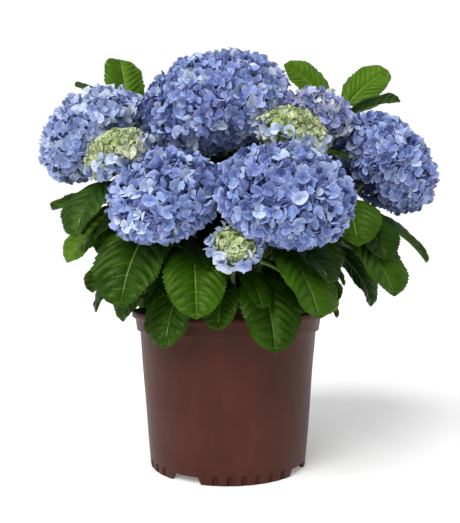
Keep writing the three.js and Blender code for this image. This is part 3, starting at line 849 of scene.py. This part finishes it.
def blade(leaf, skin, shape):
    """The points of one leaf's skin. shape gives its own small unevenness."""
    s, a = skin.along, skin.across
    side = np.abs(a)
    fan = (1 - s) * (1 - np.exp(-s / 0.1))
    along = s + fan * side**1.2 * (0.5 + 0.05 * shape.uniform(-1, 1) * np.sign(a))
    ends = held(s / 0.06) * held((1 - s) / 0.08)
    puff = np.abs(np.sin(math.pi * (s - VEIN_START) / VEIN_SPACING)) ** 0.6 * ends
    quilt = leaf.size * 0.025 * puff * held(side / 0.3) * held((1.1 - side) / 0.45)
    crown = leaf.size * shape.uniform(0.02, 0.05)
    camber = crown * (2.2 * side - 3.4 * side**2) * np.sin(math.pi * held(along) ** 0.8)
    wave = np.sin(s * shape.uniform(8, 13) + shape.uniform(0, 6.28) + np.sign(a))
    ruffle = leaf.size * 0.022 * wave * side**2.5 * np.sin(math.pi * s)
    curl = leaf.size * shape.uniform(-0.1, 0.06) * held(s - 0.6) ** 1.5
    uneven = quilt + camber + ruffle + curl
    teeth = np.ones_like(a)
    tooth = np.array([-0.035, 0.0, 0.035])[np.arange(len(a)) % 3]
    for edge in (0, -1):
        teeth[:, edge] += tooth
        along[:, edge] += tooth * 0.12 * (1 - s[:, edge])
    along = held(along)
    blunt = 1.04 + shape.uniform(0.25, 0.65) * held((along - 0.55) / 0.45) ** 1.7
    outline = blunt * (1 - 0.5 * held((along - 0.95) / 0.05))
    upper = uneven - RIDGE * (side < 0.03)
    lower = upper - BLADE_THICKNESS - RIDGE * (side < 0.06)
    top, under = (leaf.point(along, a * teeth * outline, face) for face in (upper, lower))
    return np.vstack([top.reshape(-1, 3), under.reshape(-1, 3)])[skin.used]


def green(graph, dark, light, veined, gloss=0.28):
    """A leaf's colour: mottled, with paler veins that follow the blade's own rows and columns, and darker in
    the vein grooves and along a fine net, which is painted shade.
    """
    mottle = graph.noise(38, 3)
    cells = {"Vector": graph.place(), "Scale": 300.0}
    net = graph.node("ShaderNodeTexVoronoi", cells, feature="DISTANCE_TO_EDGE")
    net = graph.maths("MINIMUM", net * 6, 1.0)
    side = graph.maths("ABSOLUTE", graph.mark("across"))
    wave = graph.maths("SINE", (graph.mark("along") - VEIN_START) * (math.pi / VEIN_SPACING))
    wave = graph.maths("ABSOLUTE", wave)
    strip = graph.maths("MAXIMUM", 1 - wave * VEIN_FINENESS, 0.0) * (1 - side * 0.75)
    rib = graph.maths("MAXIMUM", 1 - side * RIB_FINENESS, 0.0)
    line = graph.maths("MAXIMUM", strip * 0.5, rib)
    # The flesh is darker where the vein grooves and the fine net sink: painted shade in the creases.
    flesh = graph.ramp(mottle * 0.75 + net * 0.1 + wave * 0.1, (0.3, dark), (0.72, light))
    return {
        "Base Color": graph.blend(line, flesh, (*veined, 1)),
        "Roughness": mottle * 0.2 + gloss,
        "Specular IOR Level": 0.24,
        "Specular Tint": (0.7, 1, 0.3, 1),
        "relief": net * 0.2 + wave,
        "depth": 0.5,
    }


# Six greens from dark to light, each a dark, a light and a vein colour. The darkest are painted shade and the
# lightest are partly painted light.
GREENS = [
    (dye(8, 26, 2), dye(18, 44, 4), dye(36, 66, 12)),
    (dye(12, 35, 2), dye(30, 61, 6), dye(60, 94, 22)),
    (dye(18, 43, 2), dye(41, 74, 8), dye(80, 116, 34)),
    (dye(29, 58, 3), dye(57, 94, 11), dye(104, 138, 50)),
    (dye(50, 84, 6), dye(80, 118, 17), dye(118, 152, 52)),
    (dye(66, 98, 9), dye(98, 134, 22), dye(136, 166, 60)),
]
finishes = [coat(f"leaf green {i}", green, *trio) for i, trio in enumerate(GREENS)]
below = [dye(52, 84, 26), dye(78, 110, 42), dye(108, 136, 66)]
finishes.append(coat("leaf underside", green, *below, gloss=0.6))

shape = np.random.default_rng(41)
for shoot in shoots:
    parts, slots, marks = [], [], []
    for leaf in shoot.leaves:
        skin = plain_skin if leaf.inner else fine_skin
        parts.append((blade(leaf, skin, shape), skin.faces))
        slots.append(np.where(skin.under, len(GREENS), leaf.tone))
        marks.append(skin.marks)
    piece = built(f"foliage_{shoot.name}", *gathered(parts), finishes, np.concatenate(slots))
    for name, values in zip(("along", "across"), np.hstack(marks)):
        marked(piece.data, name, values)
    piece.data.set_sharp_from_angle(angle=SHARP)
    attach(piece, "root")
    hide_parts(f"leaves_{shoot.name}")

# -------- the flower heads
# A mop head is a dome of four-petalled florets on thin pale branchlets that fork from the top of the
# stalk. Open heads are blue. Young ones are small, with cream-green florets in the middle.

FLORET_RADIUS = 8.3
FLORET_KINDS = 9
FULL_HEAD = 92  # the radius of a head that holds all the florets below
FLORETS_PER_HEAD = 670  # in its outer layer
BUDS_PER_HEAD, YOUNG_FLORETS = 300, 76  # of a young head that is covered with one kind of them
YOUNG_HEAD = 40
COVERED = 1.75  # how far down a young head bears any florets, in radii
HEART_SHARE = 0.76  # the radius of the shaded mass inside a head, as a share of the head's
MEETING = 2  # how far florets may reach into another head
TUMBLE = 0.6  # how unevenly the florets face
FLORETS_A_BRANCHLET = 8
TINTS = [
    dye(198, 213, 236), dye(174, 191, 228), dye(150, 170, 220), dye(130, 152, 211), dye(110, 132, 196),
    dye(84, 106, 174), dye(140, 148, 210), dye(104, 114, 180), dye(188, 200, 144), dye(204, 210, 174),
    dye(148, 172, 88), dye(150, 152, 188), dye(206, 210, 220),
]
PALETTES = {
    "right": (1, 2, 3, 4, 4, 5, 5, 6),
    "left": (0, 1, 1, 2, 2, 3),
    "upper_right": (1, 5, 6, 11, 11, 12, 12),
    "shaded": (4, 5, 5),
    "front_right": (1, 2, 2, 3, 3, 4, 4, 5, 5),
    "open": (0, 1, 2, 2, 3, 3, 3, 4, 4, 5, 6),
    "young": (0, 0, 1, 2, 9),
    "bud": (8, 8, 8, 9, 10),
}


def petal_mix(graph, colour):
    """A petal's colour, paler towards its rim: partly the petal's own pale edge, partly a painted highlight
    where the edges catch the light.
    """
    soft = graph.noise(120, 2)
    fine = graph.noise(700, 2)
    rim = graph.mark("rim")
    darker = tuple(v * 0.72 for v in colour)
    lighter = tuple(min(1, v * 1.12 + 0.01) for v in colour)
    pale = tuple(0.5 * v + 0.46 for v in colour)
    flesh = graph.ramp(soft * 0.7 + fine * 0.3, (0.35, darker), (0.65, lighter))
    return {
        # The pale rim is partly the petal's own colour and partly a painted highlight on its edges.
        "Base Color": graph.blend(rim * rim * 0.5, flesh, (*pale, 1)),
        "Roughness": 0.6,
        "Specular IOR Level": 0.3,
        "relief": fine,
        "depth": 0.12,
    }


petals = [coat(f"petal tint {i}", petal_mix, colour) for i, colour in enumerate(TINTS)]
bead_finish = coat("floret bead", petal_mix, dye(150, 164, 200))


def rotated(points, axis, degrees):
    """Points turned about the x, y or z axis."""
    c, s = math.cos(math.radians(degrees)), math.sin(math.radians(degrees))
    first, second = [(1, 2), (2, 0), (0, 1)][axis]
    result = points.copy()
    result[:, first] = points[:, first] * c - points[:, second] * s
    result[:, second] = points[:, first] * s + points[:, second] * c
    return result


# A petal's rows run from the floret's middle out to the tip, each with its share of the half width.
PETAL_ROWS = np.array([(0, 0), (0.34, 0.8), (0.78, 1.0), (1.0, 0.56)])
upper = np.vstack([[0, 0, 0], np.arange(1, 10).reshape(3, 3)])
lower = upper.copy()
lower[1:3, 1] = 10, 11
petal_faces = []
for sheet, way in ((upper, 1), (lower, -1)):
    faces = quads(sheet)[:, [0, 3, 2, 1]].tolist()
    petal_faces += [face[::way] for face in (faces[0][:3], faces[1][:3], *faces[2:])]
petal_rim = [0, 0.8, 0, 0.8, 1, 0.1, 1, 1, 1, 1, 0, 0.1]  # how near each of its points is to the edge


def petal(turn, chances):
    """One petal, a thin closed skin, raised and twisted by its own chances from 0 to 1."""
    t, v = np.meshgrid(PETAL_ROWS[:, 0], [-1, 0, 1], indexing="ij")
    half = PETAL_ROWS[:, 1:] * FLORET_RADIUS * 0.6
    curl = (chances[0] - 0.4) * 0.5
    cup = (chances[1] - 0.35) * 0.5
    x = 0.3 + (FLORET_RADIUS - 0.3) * t * (1 - 0.1 * v**2 * (t > 0.9))
    z = FLORET_RADIUS * curl * t**2 + half * cup * v**2
    points = np.stack([x, half * v, z], -1).reshape(-1, 3)[[0, *range(3, 12)]]
    under = points[[2, 5]] - UP * 0.2
    points[[2, 5], 2] += 0.25
    points = np.vstack([points, under])
    points = rotated(points, 0, (chances[2] - 0.5) * 76)
    points = rotated(points, 1, 12 - chances[3] * 66)
    return rotated(points, 2, turn + (chances[4] - 0.5) * 16), petal_faces


def floret(number, shape):
    parts = [petal(turn, shape.uniform(0, 1, 5)) for turn in (0, 90, 180, 270)]
    parts.append(turned([(0, -0.3), (1.0, 0.4), (0, 1.3)], 4))
    made = built(f"floret_{number}", *gathered(parts), [petals[0]])
    marked(made.data, "bead", [0] * len(petal_faces) * 4 + [1] * 8, "INT", "FACE")
    marked(made.data, "rim", petal_rim * 4 + [0] * 6)
    made.data.set_sharp_from_angle(angle=SHARP)
    return made


floret_shapes = bpy.data.collections.new("floret shapes")
bpy.context.scene.collection.children.link(floret_shapes)
shape = np.random.default_rng(23)
for number in range(FLORET_KINDS):
    floret_shapes.objects.link(floret(number, shape))

floret_inputs = {"Floret Scale": 1.0}
floret_tree, graph, given = geometry_tree("florets on a head", floret_inputs)
choices = {"Collection": floret_shapes, "Separate Children": True, "Reset Children": True}
outwards = {"Vector": graph.told("facing", "FLOAT_VECTOR")}
spin = {"Axis": (0, 0, 1), "Angle": graph.told("spin", "FLOAT")}
turns = {
    "Rotation": graph.node("FunctionNodeAlignRotationToVector", outwards, axis="Z"),
    "Rotate By": graph.node("FunctionNodeAxisAngleToRotation", spin),
}
instances = {
    "Points": given["Geometry"],
    "Instance": graph.node("GeometryNodeCollectionInfo", choices),
    "Pick Instance": True,
    "Instance Index": graph.told("kind"),
    "Rotation": graph.node("FunctionNodeRotateRotation", turns, rotation_space="LOCAL"),
    "Scale": graph.told("size", "FLOAT") * given["Floret Scale"],
}
placed = graph.node("GeometryNodeInstanceOnPoints", instances)
real = graph.node("GeometryNodeRealizeInstances", {"Geometry": placed})
graph.close(graph.finished(dealt(graph, real, petals), "bead", 1, bead_finish))


def head_point(shoot, radius, ways):
    """The head's surface in each direction: a dome over its widest ring, a shallower belly under it."""
    side = unit(np.cross(UP, shoot.facing))
    over = np.cross(side, shoot.facing)
    x, y, z = (ways[:, i : i + 1] * radius for i in range(3))
    return shoot.middle + side * x + shoot.facing * y * np.where(y > 0, DOME_DEPTH, BELLY_DEPTH) + over * z


def spread(count, top=1.0, reach=1.88):
    """Directions spread evenly from a height on the dome down by a reach."""
    i = np.arange(count)
    height = top - (i + 0.5) / count * reach
    ring = np.sqrt(held(1 - height**2))
    golden = math.pi * (3 - math.sqrt(5)) * i
    return np.stack([np.cos(golden) * ring, height, np.sin(golden) * ring], -1)


ball = [(math.sin(a), -math.cos(a)) for a in np.linspace(0.12, math.pi - 0.12, 22)]
ball_points, ball_faces = turned([(0, -1), *ball, (0, 1)], 40)
ball_ways = ball_points[:, [0, 2, 1]] * (1, 1, -1)
clumps = dict(scale=260, upright=1, stops=(0.35, 0.65), roughness=0.9, depth=3)
shade_ball_finishes = [
    coat("shaded heart of a head", grained, dye(30, 42, 92), dye(66, 84, 150), **clumps),
    coat("green heart of a young head", grained, dye(84, 106, 40), dye(146, 166, 84), **clumps),
]
branch_finish = coat("floret branchlet", grained, dye(150, 162, 150), dye(190, 200, 186))
bloom = np.random.default_rng(97)
branch_lines, shade_balls, shade_ball_slots = [], [], []
for shoot in (shoot for shoot in shoots if shoot.across):
    young = shoot.name.startswith("young")
    scale = {"upper_right": 0.8, "back_top": 0.9}.get(shoot.name, 1)
    # Each layer has its radius, its directions, and its florets' palette, size and greatest depth.
    if young:
        full = (shoot.across / YOUNG_HEAD) ** 2
        cap = 0.5 if shoot.name == "young_front" else 0.75  # how far down the unopened florets reach
        rest = COVERED - cap
        layers = [
            (shoot.across - 4, spread(round(BUDS_PER_HEAD * full * cap), 1.0, cap), "bud", 0.46, 4),
            (shoot.across - 4, spread(round(YOUNG_FLORETS * full * rest), 1.1 - cap, rest), "young", 0.95, 4),
        ]
    else:
        palette = shoot.name if shoot.name in PALETTES else "open"
        full = FLORETS_PER_HEAD * (shoot.across / FULL_HEAD / scale) ** 2
        layers = [
            (shoot.across - 4, spread(round(full)), palette, scale, 5),
            # The inner layer takes the darkest blues, painted shade in the gaps between the outer florets.
            (shoot.across - 14 * scale, spread(round(full * 0.5)), "shaded", scale, 4),
        ]
    points, facings, tints, sizes = [], [], [], []
    for radius, ways, palette, size, sunk in layers:
        outer = head_point(shoot, radius, ways)
        away = unit(outer - head_point(shoot, radius * 0.72, ways))
        free = ~np.any([in_head(other, outer, -MEETING) for other in shoots if other is not shoot], axis=0)
        places = outer + away * bloom.uniform(-sunk, 2, (len(ways), 1))
        points.append(places[free])
        facings.append(unit(away + TUMBLE * bloom.normal(size=away.shape))[free])
        tints.append(bloom.choice(PALETTES[palette], len(ways))[free])
        sizes.append(size * bloom.uniform(0.84, 1.14, len(ways))[free])
    points = np.vstack(points)
    mesh = bpy.data.meshes.new(f"blossom_{shoot.name}")
    mesh.from_pydata((points * 0.001).tolist(), [], [])
    marked(mesh, "facing", np.vstack(facings), "FLOAT_VECTOR")
    marked(mesh, "spin", bloom.uniform(0, 6.28, len(points)))
    marked(mesh, "size", np.concatenate(sizes))
    marked(mesh, "tint", np.concatenate(tints), "INT")
    marked(mesh, "kind", bloom.integers(0, FLORET_KINDS, len(points)), "INT")
    piece = grown(linked(mesh.name, mesh), floret_tree, floret_inputs)
    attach(piece, "root")
    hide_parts(f"head_{shoot.name}")

    # A lumpy closed ball inside each head is painted shade that fills the view between the florets: dark navy
    # in an open head, and green in a young one, where it also stands for the green middle.
    inner = head_point(shoot, shoot.across * HEART_SHARE, ball_ways)
    inner += unit(inner - shoot.middle) * (2.2 * lumps(inner, 11, 51))[:, None]
    shade_balls.append((inner, ball_faces))
    shade_ball_slots += [int(young)] * len(ball_faces)
    start = shoot.knots[3]
    for target in points[::FLORETS_A_BRANCHLET]:
        knee = start + shoot.facing * shoot.across * 0.3 + (target - start) * 0.3
        branch_lines.append((bent(start, knee, target - 0.5, 7), np.linspace(1.1, 0.5, 7)))
shade_ball_piece = built("hearts_of_the_heads", *gathered(shade_balls), shade_ball_finishes, shade_ball_slots)
branch_piece = stems("floret_branchlets", branch_lines, branch_finish, 5)
for piece in (shade_ball_piece, branch_piece):
    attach(piece, "root")
for made in list(floret_shapes.objects):
    bpy.data.objects.remove(made)
bpy.data.collections.remove(floret_shapes)

# -------- the studio
# The plant stands on a plain white floor in an even white room. A broad soft light comes from its upper
# front left, and the camera looks straight at it from just over the pot.

scene = bpy.context.scene
floor_looks = {"Roughness": 0.9, "Emission Color": (1, 1, 1, 1), "Emission Strength": 0.2}
floor_finish = coat("white floor", lambda graph: {"Base Color": (*dye(252, 252, 252), 1), **floor_looks})
corners = [(-4000, -4000, 0), (4000, -4000, 0), (4000, 4000, 0), (-4000, 4000, 0)]
floor = built("floor", corners, [(0, 1, 2, 3)], [floor_finish])

world = bpy.data.worlds.new("white room")
world.use_nodes = True
world.node_tree.nodes.clear()
scene.world = world
graph = Graph(world.node_tree)
seen = graph.node("ShaderNodeLightPath", out="Is Camera Ray")
room = graph.node("ShaderNodeBackground", {"Color": (1, 1, 1, 1), "Strength": seen * 0.55 + 0.48})
graph.node("ShaderNodeOutputWorld", {"Surface": room})

sun = bpy.data.lights.new("soft key", "SUN")
sun.energy = 2.8
sun.angle = math.radians(40)
lamp = linked("soft key", sun)
lamp.rotation_mode = "QUATERNION"
lamp.rotation_quaternion = Vector((0.45, 0.8, -0.85)).to_track_quat("-Z", "Y")

lens = bpy.data.cameras.new("camera")
lens.sensor_fit = "AUTO"
lens.sensor_width = 36
lens.lens = 44.05
camera = linked("camera", lens)
camera.location = (0.0025, -0.816, 0.253)
camera.rotation_euler = (math.radians(90), 0, 0)
scene.camera = camera
scene.view_settings.view_transform = "Standard"
